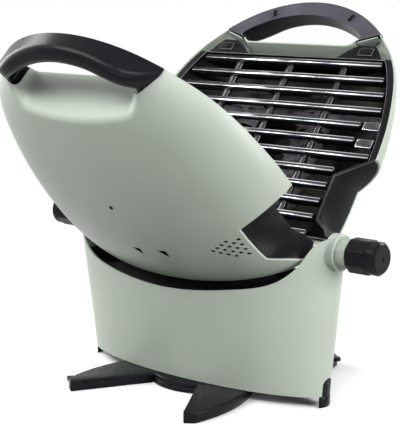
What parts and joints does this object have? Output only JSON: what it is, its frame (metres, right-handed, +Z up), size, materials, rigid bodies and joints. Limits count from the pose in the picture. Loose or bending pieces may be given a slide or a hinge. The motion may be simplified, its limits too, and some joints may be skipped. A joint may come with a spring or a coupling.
{
  "type": "clamshell countertop grill",
  "caption": "portable countertop grill: two domed halves with grates hinge open above a lens-shaped base, with loop handle, push-and-turn knobs and swing-out leg bars",
  "frame": {"origin": "floor under the middle of the hinge axis, on the head of the hub bolt", "axes": "+Z up, X along the hinge axis, front half towards -Y"},
  "size_m": [0.4904, 0.4912, 0.4445],
  "materials": {
    "green_coat": "satin powder coat",
    "black_plastic": "moulded satin",
    "black_steel": "heat-proof coat",
    "enamel": "gloss enamel",
    "steel": "brushed",
    "brass": "turned",
    "aluminium": "drawn"
  },
  "bodies": {
    "base": {"base_shell": "green_coat", "base_trough": "black_steel", "bottom_plate": "black_plastic", "base_screws": "steel", "hub_bolt": "steel", "gas_rail": "aluminium", "gas_inlet": "brass", "left_trunnion": "steel", "left_retaining_ring": "steel", "left_collar": "green_coat", "left_valve": "brass", "right_trunnion": "steel", "right_retaining_ring": "steel", "right_collar": "green_coat", "right_valve": "brass"},
    "front_half": {"front_shell": "green_coat", "front_handle": "black_plastic", "front_pan": "black_steel", "front_right_recess": "black_steel", "front_left_recess": "black_steel", "front_grate": "enamel", "front_clips": "enamel", "front_burner": "steel", "front_tent": "steel", "front_right_bracket": "black_steel", "front_left_bracket": "black_steel", "front_screws": "steel"},
    "rear_half": {"rear_shell": "green_coat", "rear_handle": "black_plastic", "rear_pan": "black_steel", "rear_right_recess": "black_steel", "rear_left_recess": "black_steel", "rear_grate": "enamel", "rear_clips": "enamel", "rear_burner": "steel", "rear_tent": "steel", "rear_right_bracket": "black_steel", "rear_left_bracket": "black_steel", "rear_screws": "steel"},
    "upper_legs": {"upper_leg_bar": "black_plastic"},
    "lower_legs": {"lower_leg_bar": "black_plastic"},
    "left_stem": {"left_spindle": "steel", "left_knob_seat": "black_plastic", "left_spring": "steel"},
    "left_knob": {"left_knob": "black_plastic"},
    "right_stem": {"right_spindle": "steel", "right_knob_seat": "black_plastic", "right_spring": "steel"},
    "right_knob": {"right_knob": "black_plastic"}
  },
  "joints": [
    {"name": "front_half_hinge", "type": "hinge", "parent": "base", "child": "front_half", "pos_m": [0, 0, 0.1806], "axis": [1, 0, 0], "range_deg": [-44.5, 7.5]},
    {"name": "rear_half_hinge", "type": "hinge", "parent": "base", "child": "rear_half", "pos_m": [0, 0, 0.1806], "axis": [-1, 0, 0], "range_deg": [-39.8, 12.2]},
    {"name": "upper_leg_turn", "type": "hinge", "parent": "base", "child": "upper_legs", "pos_m": [0, 0, 0.0066], "axis": [0, 0, -1], "range_deg": [0, 59]},
    {"name": "lower_leg_turn", "type": "hinge", "parent": "base", "child": "lower_legs", "pos_m": [0, 0, 0.0066], "axis": [0, 0, -1], "range_deg": [0, 118]},
    {"name": "left_knob_turn", "type": "hinge", "parent": "base", "child": "left_stem", "pos_m": [-0.2, 0, 0.1806], "axis": [-1, 0, 0], "range_deg": [-150, 0]},
    {"name": "left_knob_push", "type": "slide", "parent": "left_stem", "child": "left_knob", "axis": [1, 0, 0], "range_m": [0, 0.0024], "stiffness_N_per_m": 600, "deforming": ["left_spring"]},
    {"name": "right_knob_turn", "type": "hinge", "parent": "base", "child": "right_stem", "pos_m": [0.2, 0, 0.1806], "axis": [1, 0, 0], "range_deg": [-150, 0]},
    {"name": "right_knob_push", "type": "slide", "parent": "right_stem", "child": "right_knob", "axis": [-1, 0, 0], "range_m": [0, 0.0024], "stiffness_N_per_m": 600, "deforming": ["right_spring"]}
  ],
  "couplings": [
    {"joint": "lower_leg_turn", "follows": "upper_leg_turn", "ratio": 2}
  ]
}
